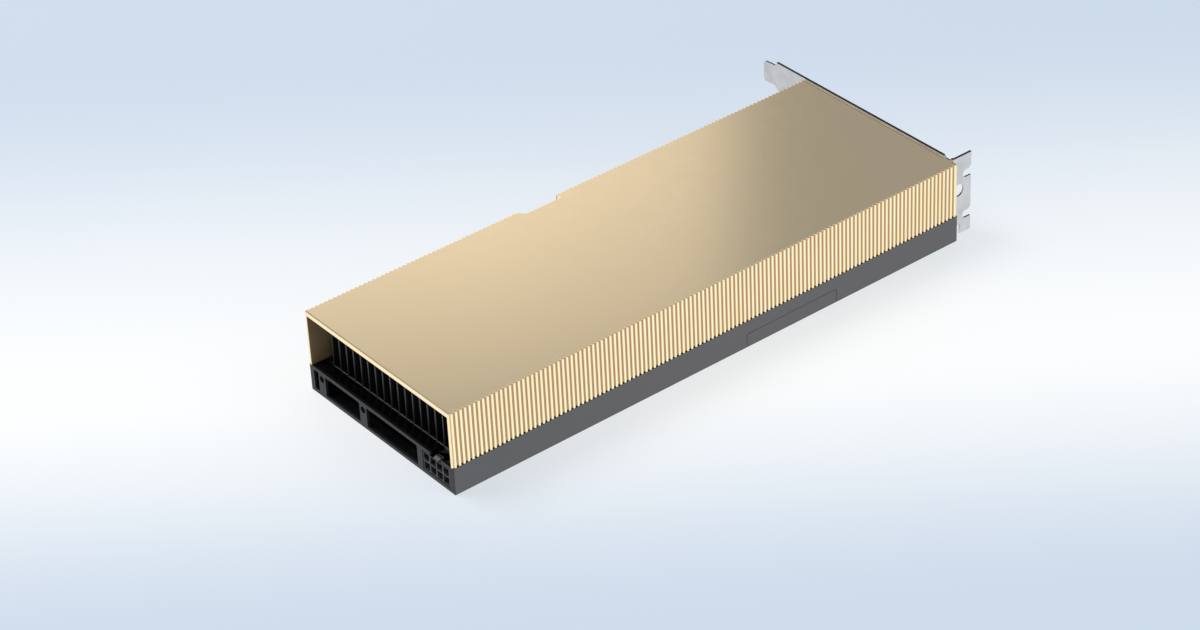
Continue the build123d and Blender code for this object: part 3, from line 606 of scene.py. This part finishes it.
@dataclass
class Shroud:
    """The fluted cover, as one closed surface from lip to lip, with lengths in mm."""

    crest: float = 0.70  # half width of a flute's crest
    flatness: float = 0.62  # height of a flute against a half circle's
    pitch: float = 2.165
    margin: float = 0.635  # plain strip at each end of a row
    crest_steps: int = 10
    valley_steps: int = 6
    wall: float = 1.75
    roof: float = 2.0
    edge: float = 0.22  # radius of the rounded edges
    edge_steps: int = 3
    foot: float = 0.12  # chamfer under the wall
    holding: float = 0.1  # strip beside a rounded edge that keeps the flat face's shading flat
    relief_start: float = -25.5
    relief_end: float = -5.4
    relief_slant: float = 2.0
    relief_depth: float = 3.3
    relief_wall: float = 1.2
    lug: tuple[float, float, float] = (6.0, 3.55, 6.0)
    block: float = 6.6
    block_round: float = 0.3

    def __post_init__(self) -> None:
        """Reads the cover's box from the frame."""
        self.low, self.high = corners_mm("top_shroud")
        self.line = self.high[1] - self.flatness * self.crest
        self.valley = self.pitch / 2 - self.crest
        self.inner = self.high[1] - self.wall
        self.ceiling = self.high[2] - self.roof

    def side_path(self) -> np.ndarray:
        """One fluted side seen from above.

        Crest k is the half ellipse x = x_k - a cos t, y = line + f a sin t, where a is the crest's half width
        and f the flatness. The valley after it is x = x_k + pitch/2 - b cos t, y = line - f b sin t, where b
        is the valley's half width. t runs from 0 to pi in both.

        Returns:
            Points from the power end to the bracket, one row each.
        """
        count = round((self.high[0] - self.low[0] - 2 * self.margin + 2 * self.valley) / self.pitch)
        centres = self.low[0] + self.margin + self.crest + self.pitch * np.arange(count)[:, None]
        over = np.linspace(0, np.pi, self.crest_steps + 1)[None, :]
        under = np.linspace(0, np.pi, self.valley_steps + 1)[None, 1:-1]
        crest_x = centres - self.crest * np.cos(over)
        crest_y = self.line + self.flatness * self.crest * np.sin(over) + 0 * centres
        valley_x = centres + self.pitch / 2 - self.valley * np.cos(under)
        valley_y = self.line - self.flatness * self.valley * np.sin(under) + 0 * centres
        path = np.stack([np.hstack([crest_x, valley_x]), np.hstack([crest_y, valley_y])], axis=-1)
        path = path.reshape(-1, 2)[: 1 - self.valley_steps]
        ends = [[self.low[0] + self.edge, self.line], [self.high[0] - self.edge, self.line]]
        return np.vstack([ends[:1], path, ends[1:]])

    def with_relief(self, path: np.ndarray) -> np.ndarray:
        """The same path where the finger relief takes the place of some flutes.

        The points between the last crest before the relief and the first one after it lie on the relief's
        corners instead, and those left over are spread evenly along its face.

        Args:
            path: one fluted side.

        Returns:
            As many points as before.
        """
        per_flute = self.crest_steps + self.valley_steps
        ends = path[1 + self.crest_steps :: per_flute, 0]
        starts = path[1::per_flute, 0]
        first = 1 + self.crest_steps + per_flute * (np.searchsorted(ends, self.relief_start) - 1)
        last = 1 + per_flute * np.searchsorted(starts, self.relief_end)
        face = self.high[1] - self.relief_depth
        start, end = self.relief_start, self.relief_end
        relief = [[start, self.line], [start + self.relief_slant, face], [end, face], [end, self.line]]
        corners = np.vstack([path[first], relief, path[last]])
        changed = path.copy()
        steps = np.arange(last + 1 - first)
        marks = steps[[0, 1, 2, -3, -2, -1]]
        for axis in (0, 1):
            changed[first : last + 1, axis] = np.interp(steps, marks, corners[:, axis])
        return changed

    @staticmethod
    def outward(path: np.ndarray) -> np.ndarray:
        """Mitred offsets to the left of a path.

        An offset is the mean m of the normals of the two runs that meet in a point, divided by m squared.

        Args:
            path: points, one row each.

        Returns:
            One offset for each point, for a distance of 1.
        """
        runs = np.diff(path, axis=0)
        runs = runs / np.linalg.norm(runs, axis=1, keepdims=True)
        normals = np.stack([-runs[:, 1], runs[:, 0]], axis=-1)
        mean = (np.vstack([normals[:1], normals]) + np.vstack([normals, normals[-1:]])) / 2
        return mean / np.sum(mean**2, axis=1, keepdims=True)

    def inner_path(self, path: np.ndarray) -> np.ndarray:
        """The inner wall beside the relief: straight, with a step round the relief's own wall.

        Args:
            path: the outer wall with its relief.

        Returns:
            As many points as the outer wall has.
        """
        start, end = self.relief_start - self.relief_wall, self.relief_end + self.relief_wall
        step = self.high[1] - self.relief_depth - self.relief_wall
        first, last = np.searchsorted(path[:, 0], [start, end])
        marks = [0, first, first + 1, last, last + 1, len(path) - 1]
        x = [path[0, 0], start, start, end, end, path[-1, 0]]
        y = [self.inner, self.inner, step, step, self.inner, self.inner]
        index = np.arange(len(path))
        return np.stack([np.interp(index, marks, x), np.interp(index, marks, y)], axis=-1)

    def section(self) -> tuple[np.ndarray, np.ndarray, np.ndarray]:
        """The outer section, from the foot of the wall to the roof.

        The rounded edge is a quarter circle of radius edge: depth = edge (1 - cos t) and height = top - edge
        + edge sin t, with t from 0 to pi/2. Below it come the chamfered foot and a strip that holds it.

        Returns:
            How far each point lies inside the path, its height, and 1 where it sinks with the rounded ends.
        """
        turn = np.linspace(0, np.pi / 2, self.edge_steps + 1)
        foot = self.low[2] + self.foot
        lower = [self.low[2], foot, foot + self.holding]
        curve = self.edge * (1 - np.cos(turn))
        rise = self.high[2] - self.edge + self.edge * np.sin(turn)
        depth = np.concatenate([[self.foot, 0, 0], curve, [self.edge + self.holding]])
        height = np.concatenate([lower, rise, self.high[2:]])
        sinks = (np.arange(len(height)) >= len(lower)).astype(float)
        return depth, height, sinks

    def lengthened(self, rows: np.ndarray) -> np.ndarray:
        """Repeats the first and the last row edge_steps times, for the stations of the rounded ends."""
        first, last = (row.repeat(self.edge_steps, axis=0) for row in (rows[:1], rows[-1:]))
        return np.vstack([first, rows, last])

    def side(self, sign: int, path: np.ndarray, inside: np.ndarray) -> tuple[np.ndarray, np.ndarray]:
        """Outer and inner points of one side.

        Station u runs along the card and v up the section. A point is path(u) - d(v) normal(u), at height
        z(v), with d and z of the section. At both ends more stations draw the whole section in by
        edge (1 - cos t) as x nears the end by edge (1 - sin t).

        Args:
            sign: 1 for the side of the edge contacts and -1 for the other.
            path: the outer wall seen from above.
            inside: the inner wall seen from above.

        Returns:
            Outer points and inner points, by station and by place in the section.
        """
        turn = np.linspace(0, np.pi / 2, self.edge_steps + 1)[1:]
        drawn_in = self.edge * (1 - np.cos(turn))
        reach = self.edge * (1 - np.sin(turn))
        depth, height, sinks = self.section()
        inset = np.concatenate([drawn_in[::-1], np.zeros(len(path)), drawn_in])[:, None]
        normal = self.lengthened(self.outward(path))
        path, inside = self.lengthened(path), self.lengthened(inside)
        for wall in (path, inside):
            wall[: self.edge_steps, 0] = self.low[0] + reach[::-1]
            wall[-self.edge_steps :, 0] = self.high[0] - reach
        offset = depth[None, :] + inset
        x = path[:, :1] - offset * normal[:, :1]
        y = sign * (path[:, 1:] - offset * normal[:, 1:])
        z = height[None, :] - inset * sinks[None, :]
        inner_height = np.full(len(height), self.ceiling)
        inner_height[0] = self.low[2]
        inner_z = inner_height[None, :] + inset * sinks[None, :]
        inner_x = inside[:, :1] + 0 * inner_z
        inner_y = sign * (inside[:, 1:] + inset) + 0 * inner_z
        return np.stack([x, y, z], axis=-1), np.stack([inner_x, inner_y, inner_z], axis=-1)

    def surface(self) -> tuple[np.ndarray, np.ndarray, np.ndarray]:
        """The whole cover: up the outer wall, over the top, down the other side and back inside.

        Returns:
            Points, quads, and 1 for each quad of the inside or 0 for the others.
        """
        plain = self.side_path()
        relieved = self.with_relief(plain)
        straight = np.stack([plain[:, 0], 0 * plain[:, 0] + self.inner], axis=-1)
        link_side, link_inner = self.side(-1, plain, straight)
        contact_side, contact_inner = self.side(1, relieved, self.inner_path(relieved))
        around_card = [link_side, contact_side[:, ::-1], contact_inner, link_inner[:, ::-1]]
        rings = np.concatenate(around_card, axis=1)
        count, around = rings.shape[:2]
        half = around // 2
        k = np.arange(half - 1)
        cap = np.stack([k, k + 1, around - 2 - k, around - 1 - k], axis=-1)
        faces = np.vstack([grid_quads(count, around), cap, cap + (count - 1) * around])
        column = np.tile(np.arange(around), count - 1)
        inside = np.zeros(len(faces), dtype=int)
        inside[: len(column)] = (column >= half) & (column < around - 1)
        return rings.reshape(-1, 3), faces, inside

    def lug_blocks(self) -> tuple[np.ndarray, np.ndarray]:
        """The screw lugs, and the two corner blocks at the bracket.

        Returns:
            Their centres and their half sizes.
        """
        size = np.array(self.lug)
        x, side = np.meshgrid(LUG_COLUMNS, (-1, 1))
        y = side * (self.inner - size[1] / 2)
        z = 0 * x + self.low[2] + size[2] / 2
        lugs = np.stack([x, y, z], axis=-1).reshape(-1, 3)
        half = self.block / 2
        blocks = [[self.high[0] - half, s * (self.inner - half), self.ceiling - half] for s in (-1, 1)]
        halves = np.vstack([np.tile(size / 2, (len(lugs), 1)), np.full((2, 3), half)])
        return np.vstack([lugs, blocks]), halves

    def build(self) -> None:
        """Makes the cover and its lugs."""
        cover = new_piece("fluted_cover", *self.surface())
        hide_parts("top_shroud")
        dress(cover, "gold_shroud", Gold.BODY, Gold.INSIDE)
        lugs = new_piece("cover_lugs", *rounded_blocks(*self.lug_blocks(), self.block_round))
        dress(lugs, "gold_shroud", Gold.INSIDE)


def rounded_blocks(centres: np.ndarray, halves: np.ndarray, radius: float, steps: int = 3) -> Form:
    """Boxes with rounded edges: a sphere of the given radius carried to the eight corners of a smaller box.

    A point is centre + (half - radius) s + radius n, where n is the sphere's normal at angles a and b, and
    s is the sign of n in each of the eight corners. Each corner has its own steps, so that the flat faces
    appear between them. The top and bottom rows meet in four points, and the flat between them is closed.

    Args:
        centres: one row for each box, in mm.
        halves: half sizes, one row for each box.
        radius: edge radius.
        steps: facets of each rounded edge.

    Returns:
        Points and quads of all the boxes.
    """
    quarter = np.linspace(0, np.pi / 2, steps + 1)
    a = (quarter[None, :] + np.arange(4)[:, None] * np.pi / 2).ravel()
    b = np.concatenate([quarter, quarter + np.pi / 2])[:, None]
    normal = np.stack([np.sin(b) * np.cos(a), np.sin(b) * np.sin(a), np.cos(b) + 0 * a], axis=-1)
    rows, columns = normal.shape[:2]
    quadrant = np.repeat(np.arange(4), steps + 1)
    x_sign = np.where((quadrant == 0) | (quadrant == 3), 1.0, -1.0) + 0 * b
    y_sign = np.where(quadrant < 2, 1.0, -1.0) + 0 * b
    z_sign = np.where(np.arange(rows) <= steps, 1.0, -1.0)[:, None] + 0 * a
    sign = np.stack([x_sign, y_sign, z_sign], axis=-1)
    shift = (halves - radius)[:, None, None, :] * sign[None]
    points = centres[:, None, None, :] + shift + radius * normal[None]
    start = np.arange(4) * (steps + 1)
    flats = np.vstack([start, start + (rows - 1) * columns])
    faces = np.vstack([grid_quads(rows, columns), flats])
    return points.reshape(-1, 3), repeated(faces, rows * columns, len(centres))


@dataclass
class Housing:
    """The dark frame, the cap over the link port and the plate below."""

    round_mm: float = 0.14

    def build(self) -> None:
        """Eases the edges of the three pieces and dresses them."""
        for node, finish, slot in (
            ("base_frame", Dark.FRAME, "dark_frame"),
            ("link_cover", Dark.FRAME, "link_cap"),
            ("backplate", Dark.PLATE, "black_plate"),
        ):
            dress(eased_copy(node, self.round_mm), slot, finish)


@dataclass
class Cooler:
    """The fins and the plate that carries them."""

    count: int = 18
    thickness: float = 1.0
    round_mm: float = 0.3
    setback: float = 0.35  # how far the fins start behind the plate's front face, so that its painted highlight shows as one line

    def build(self) -> None:
        """Makes the fins as thin slabs with rounded edges, evenly spaced over the node's width."""
        low, high = corners_mm("cooling_fins")
        low[0] += self.setback
        half = np.array([(high[0] - low[0]) / 2, self.thickness / 2, (high[2] - low[2]) / 2])
        y = np.linspace(low[1] + half[1], high[1] - half[1], self.count)
        centres = np.stack([0 * y + (low[0] + high[0]) / 2, y, 0 * y + (low[2] + high[2]) / 2], axis=-1)
        halves = np.tile(half, (self.count, 1))
        fins = new_piece("fin_stack", *rounded_blocks(centres, halves, self.round_mm))
        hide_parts("cooling_fins")
        dress(fins, "black_cooler", Dark.FINS)
        dress_node("cold_plate", Dark.BASE)


@dataclass
class Inlet:
    """The power inlet, its pins and the two threaded inserts beside it."""

    round_mm: float = 0.1

    def build(self) -> None:
        """Eases the header's edges and dresses the pins and inserts."""
        dress(eased_copy("power_connector", self.round_mm), "connector", Dark.NYLON)
        dress_node("power_pins", Metal.TIN)
        dress_node("retainer_nuts", Metal.INSERT)


@dataclass
class Bracket:
    """The folded steel bracket."""

    round_mm: float = 0.12

    def build(self) -> None:
        """Eases the sheet's sheared edges."""
        dress(eased_copy("io_bracket", self.round_mm), "bracket_steel", Metal.ZINC)


def pairs(columns: tuple[float, ...], reach: float, middle: float = 0.0) -> Places:
    """Places in pairs, one of each pair at reach to either side of a middle line."""
    return tuple((x, middle + side * reach) for x in columns for side in (-1, 1))


@dataclass(frozen=True)
class ScrewKind:
    """One kind of screw and the places of its copies, in mm.

    A screw points along +Z, and its places are X and Y. One that points back runs along -X, and its places
    are Y and Z.
    """

    name: str
    node: str  # the CAD node that the copies replace
    head: float  # radius of the head
    neck: float  # height over which the head narrows to the shank
    length: float
    face: float  # where the heads' faces lie
    places: Places
    points_back: bool = False

    def spots(self) -> np.ndarray:
        """Where each head's face is, one row each."""
        face = np.full((len(self.places), 1), self.face)
        return np.hstack([face, self.places] if self.points_back else [self.places, face])


@dataclass
class Screws:
    """Every screw of the card, as turned forms with a cross recess, with lengths in mm."""

    around: int = 32
    recess: float = 0.75  # depth of the cross
    recess_share: float = 0.68  # its radius against the head's
    recess_rings: int = 9
    rim_share: float = 0.86  # a ring that keeps the head's edge flat
    wing: float = 0.28  # half width of a wing of the cross
    shank: float = 1.0
    tip: float = 0.4  # height of the chamfer at the tip
    tip_share: float = 0.7
    kinds: tuple[ScrewKind, ...] = (
        ScrewKind(
            "plate_screws",
            "housing_screws",
            head=2.0,
            neck=0.95,
            length=8.22,
            face=0.02,
            places=pairs((-109.4, -35.4, 121.4), 44.9) + pairs((-89.4, 97.6), 30.0),
        ),
        ScrewKind(
            "lug_screws",
            "shroud_screws",
            head=2.0,
            neck=1.3,
            length=6.3,
            face=10.3,
            places=pairs(LUG_COLUMNS, 44.825),
        ),
        ScrewKind(
            "spring_screws",
            "brace_screws",
            head=2.7,
            neck=1.2,
            length=7.57,
            face=0.67,
            places=pairs((-3.1, 59.9), 31.5, middle=2.0),
        ),
        ScrewKind(
            "end_screws",
            "bracket_screws",
            head=2.0,
            neck=0.82,
            length=4.84,
            face=134.24,
            places=((-41.0, 7.92), (41.0, 7.92), (-43.3, 32.8), (43.3, 32.8)),
            points_back=True,
        ),
    )

    def form(self, kind: ScrewKind) -> Form:
        """One screw that points along +Z, with its head's face at 0.

        The head's face is a disc at height recess w(u, v) (1 - (r / c)^2) inside radius c, where
        w = exp(-(min(|u|, |v|) / wing)^4) makes a cross. The rest is turned: the profile runs from the rim
        to the shank and on to its chamfered tip.

        Args:
            kind: the kind of screw.

        Returns:
            Points and quads.
        """
        cut = self.recess_share * kind.head
        rim = [self.rim_share * kind.head, kind.head]
        radii = np.concatenate([np.linspace(0, cut, self.recess_rings), rim])
        angle = np.linspace(0, 2 * np.pi, self.around, endpoint=False)
        u = radii[:, None] * np.cos(angle)
        v = radii[:, None] * np.sin(angle)
        cross = np.exp(-((np.minimum(abs(u), abs(v)) / self.wing) ** 4))
        fall = np.clip(1 - (radii / cut) ** 2, 0, 1)[:, None]
        face = np.stack([u, v, self.recess * cross * fall], axis=-1)
        turned_r = np.array([self.shank, self.shank, self.tip_share * self.shank, 0.0])[:, None]
        turned_z = np.array([kind.neck, kind.length - self.tip, kind.length, kind.length])[:, None]
        turned = [turned_r * np.cos(angle), turned_r * np.sin(angle), turned_z + 0 * angle]
        points = np.vstack([face, np.stack(turned, axis=-1)])
        return points.reshape(-1, 3), grid_quads(len(points), self.around)

    def build(self) -> None:
        """Repeats each kind of screw at its places and lets the group stand for its node."""
        back = np.array(Matrix.Rotation(-math.pi / 2, 3, "Y"))
        for kind in self.kinds:
            points, faces = self.form(kind)
            turned = points @ back.T if kind.points_back else points
            spots = kind.spots()
            every = (spots[:, None, :] + turned[None]).reshape(-1, 3)
            group = new_piece(kind.name, every, repeated(faces, len(points), len(spots)))
            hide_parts(kind.node)
            dress(group, "screw_steel", Metal.BLACK_OXIDE)


@dataclass
class Board:
    """The circuit board and everything that stands on it."""

    def build(self) -> None:
        """Dresses the nodes, which keep their CAD form."""
        finishes = {
            Inner.MASK: ("circuit_board",),
            Metal.GOLD_PLATE: ("edge_contacts", "link_contacts"),
            Inner.PAD: ("inductor_pads", "stage_pads", "backplate_pads", "thermal_paste"),
            Inner.LAMINATE: ("gpu_substrate",),
            Metal.NICKEL: ("package_ring", "clock_crystal"),
            Metal.SILICON: ("processor_die", "memory_stacks"),
            Metal.SPRING: ("spring_brace",),
            Dark.POWDER: ("power_inductors", "input_choke"),
            Dark.EPOXY: ("power_stages", "input_fuses", "phase_controllers", "monitor_chip", "firmware_chip"),
            Inner.CERAMIC: ("input_capacitors", "output_capacitors", "rear_capacitors"),
        }
        for finish, nodes in finishes.items():
            for node in nodes:
                dress_node(node, finish)


@dataclass(frozen=True)
class Ramp:
    """A number that runs from low to high between two angles, in degrees."""

    start: float
    end: float
    low: float = 0.0
    high: float = 1.0
    smooth: bool = True


@dataclass
class Studio:
    """Camera, floor, lamps and surroundings, with lengths in mm and angles in degrees."""

    camera_place: tuple[float, float, float] = (-736.118, -940.049, 807.027)
    azimuth: float = -37.219
    elevation: float = 34.055
    roll: float = -2.989
    focal_pixels: float = 3472.354
    sensor: float = 36.0
    floor_half: float = 9000.0
    bright_row: float = -40.0  # where a painted pool of light makes the floor whitest, along the view from the card's middle
    far_fade: float = 270.0
    near_fade: float = 165.0
    backlit: float = 0.7  # share of the floor's light that comes from below, so that shadows stay faint
    floor_roughness: float = 0.28
    floor_white: str = "#FBFDFE"
    floor_blue: str = "#CDDBEB"
    backdrop: str = "#DCE7F3"
    box_fall: Ramp = Ramp(41.5, 35.0, low=0.5, smooth=False)
    box_edge: Ramp = Ramp(40.9, 39.0)
    box_return: Ramp = Ramp(74.0, 84.0)
    box_height: Ramp = Ramp(36.4, 31.6, high=0.7, smooth=False)
    dome: Ramp = Ramp(41.0, 47.0)
    azimuth_limits: tuple[float, float] = (-95.0, 85.0)
    mirrored_grey: Colour = (0.34, 0.342, 0.358, 1.0)
    mirrored_box: Colour = (1.26, 1.167, 1.098, 1.0)
    mirrored_dome: Colour = (0.78, 0.78, 0.8, 1.0)
    diffuse_grey: Colour = (0.5, 0.5, 0.5, 1.0)

    def camera(self) -> None:
        """Points the camera by its azimuth, elevation and roll."""
        a, e, r = (math.radians(v) for v in (self.azimuth, self.elevation, self.roll))
        forward = Vector((-math.sin(a) * math.cos(e), math.cos(a) * math.cos(e), -math.sin(e)))
        level = Vector((math.cos(a), math.sin(a), 0))
        upright = level.cross(forward)
        right = level * math.cos(r) + upright * math.sin(r)
        up = right.cross(forward)
        data = bpy.data.cameras.new("view")
        data.sensor_width = self.sensor
        data.lens = self.focal_pixels / IMAGE_WIDTH * self.sensor
        camera = bpy.data.objects.new("view", data)
        turn = Matrix((right, up, -forward)).transposed().to_4x4()
        camera.matrix_world = Matrix.Translation(Vector(self.camera_place) * MM) @ turn
        bpy.context.scene.collection.objects.link(camera)
        bpy.context.scene.camera = camera

    def floor(self) -> None:
        """A plain pale floor, lit partly from below, with a painted pool of light that makes it whitest in a
        band across the view.

        Metal mirrors it as plain white, because its glossy rays meet an emission of strength 1.
        """
        size = self.floor_half
        corners = [[-size, -size, 0], [size, -size, 0], [size, size, 0], [-size, size, 0]]
        floor = new_piece("floor", np.array(corners, dtype=float), np.array([[0, 1, 2, 3]]))
        material = bpy.data.materials.new("backlit_opal_acrylic_floor")
        material.use_nodes = True
        tree = material.node_tree
        shader = tree.nodes["Principled BSDF"]
        shader.inputs["Roughness"].default_value = self.floor_roughness
        a = math.radians(self.azimuth)
        view = {0: add(tree, "TexCoord").outputs["Object"], 1: (-math.sin(a), math.cos(a), 0)}
        along = add(tree, "VectorMath", view, operation="DOT_PRODUCT").outputs["Value"]
        away = add(tree, "Math", {0: along, 1: self.bright_row * MM}, operation="SUBTRACT").outputs[0]
        shares = []
        for fade in (self.far_fade, -self.near_fade):
            limits = {"Value": away, "From Min": 0.0, "From Max": fade * MM}
            shares.append(add(tree, "MapRange", limits, interpolation_type="SMOOTHSTEP").outputs[0])
        share = add(tree, "Math", {0: shares[0], 1: shares[1]}).outputs[0]
        ends = {0: share, 6: linear(self.floor_white), 7: linear(self.floor_blue)}
        colour = add(tree, "Mix", ends, data_type="RGBA").outputs[2]
        tree.links.new(colour, shader.inputs["Base Color"])
        backlight = add(tree, "Emission", {"Color": colour, "Strength": 1.0})
        lit = add(tree, "MixShader", {0: self.backlit, 1: shader.outputs[0], 2: backlight.outputs[0]})
        glow = add(tree, "Emission", {"Color": linear("#FFFFFF"), "Strength": 1.0})
        both = add(tree, "MixShader", {0: self.mirrors(tree), 1: lit.outputs[0], 2: glow.outputs[0]})
        tree.links.new(both.outputs[0], tree.nodes["Material Output"].inputs["Surface"])
        floor.data.materials.append(material)

    @staticmethod
    def mirrors(tree: Tree) -> Socket:
        """1 for what a glossy or a clear surface shows, and 0 for the rest."""
        ray = add(tree, "LightPath").outputs
        return add(tree, "Math", {0: ray["Is Glossy Ray"], 1: ray["Is Transmission Ray"]}).outputs[0]

    def surroundings(self) -> None:
        """A pale studio: plain for diffuse light, with softboxes in what metal mirrors.

        The mirrored world is grey. A wide softbox below 36 degrees of elevation grows linearly as the
        elevation falls. It ends at 40 degrees of azimuth, after a slow fall from 35 degrees, and starts again
        at 80. Azimuth is atan2(x, y), it repeats each half turn, and elevation is asin(z). Above 44 degrees
        the whole dome is bright.
        """
        world = bpy.data.worlds.new("studio")
        bpy.context.scene.world = world
        world.use_nodes = True
        tree = world.node_tree
        tree.nodes.clear()
        way = add(tree, "TexCoord").outputs["Generated"]
        split = add(tree, "SeparateXYZ", {0: way}).outputs
        azimuth = add(tree, "Math", {0: split[0], 1: split[1]}, operation="ARCTAN2").outputs[0]
        first, last = (math.radians(limit) for limit in self.azimuth_limits)
        azimuth = add(tree, "Math", {0: azimuth, 1: first, 2: last}, operation="WRAP").outputs[0]
        elevation = add(tree, "Math", {0: split[2]}, operation="ARCSINE").outputs[0]
        ramps = []
        for angle, ramp in (
            (azimuth, self.box_fall),
            (azimuth, self.box_edge),
            (azimuth, self.box_return),
            (elevation, self.box_height),
            (elevation, self.dome),
        ):
            start, end = math.radians(ramp.start), math.radians(ramp.end)
            shape = "SMOOTHSTEP" if ramp.smooth else "LINEAR"
            limits = {0: angle, 1: start, 2: end, 3: ramp.low, 4: ramp.high}
            ramps.append(add(tree, "MapRange", limits, interpolation_type=shape).outputs[0])
        fall, edge, again, height, dome = ramps
        box = add(tree, "Math", {0: fall, 1: edge}, operation="MULTIPLY").outputs[0]
        box = add(tree, "Math", {0: box, 1: again}, operation="MAXIMUM").outputs[0]
        box = add(tree, "Math", {0: box, 1: height}, operation="MULTIPLY").outputs[0]
        ends = {0: box, 6: self.mirrored_grey, 7: self.mirrored_box}
        mirrored = add(tree, "Mix", ends, data_type="RGBA").outputs[2]
        ends = {0: dome, 6: mirrored, 7: self.mirrored_dome}
        mirrored = add(tree, "Mix", ends, data_type="RGBA").outputs[2]
        ends = {0: self.mirrors(tree), 6: self.diffuse_grey, 7: mirrored}
        lit = add(tree, "Mix", ends, data_type="RGBA").outputs[2]
        seen = add(tree, "LightPath").outputs["Is Camera Ray"]
        ends = {0: seen, 6: lit, 7: linear(self.backdrop)}
        shown = add(tree, "Mix", ends, data_type="RGBA").outputs[2]
        back = add(tree, "Background", {"Color": shown, "Strength": 1.0})
        out = add(tree, "OutputWorld", {"Surface": back.outputs[0]})
        out.is_active_output = True

    @staticmethod
    def lamp(name: str, place: tuple[float, float, float], size: float, watts: float) -> None:
        """A square soft lamp that points at the card's middle.

        Args:
            name: the lamp's name.
            place: where it stands, in mm.
            size: side of the square, in mm.
            watts: its power.
        """
        data = bpy.data.lights.new(name, "AREA")
        data.size = size * MM
        data.energy = watts
        lamp = bpy.data.objects.new(name, data)
        lamp.location = Vector(place) * MM
        lamp.rotation_mode = "QUATERNION"
        lamp.rotation_quaternion = (-lamp.location).to_track_quat("-Z", "Y")
        lamp.visible_glossy = False
        bpy.context.scene.collection.objects.link(lamp)

    def build(self) -> None:
        """Sets the stage."""
        bpy.context.scene.view_settings.view_transform = "Standard"
        self.camera()
        self.floor()
        self.surroundings()
        self.lamp("key", (-700, 1100, 2200), size=1400, watts=38)
        self.lamp("fill", (900, -1800, 1200), size=1600, watts=14)


def main() -> None:
    """Builds the stage and the card."""
    logging.basicConfig(level=logging.INFO, format="%(name)s %(message)s")
    for part in (Studio(), Shroud(), Housing(), Cooler(), Inlet(), Bracket(), Screws(), Board()):
        LOG.info("building %s", type(part).__name__)
        part.build()


if __name__ == "__main__":
    main()
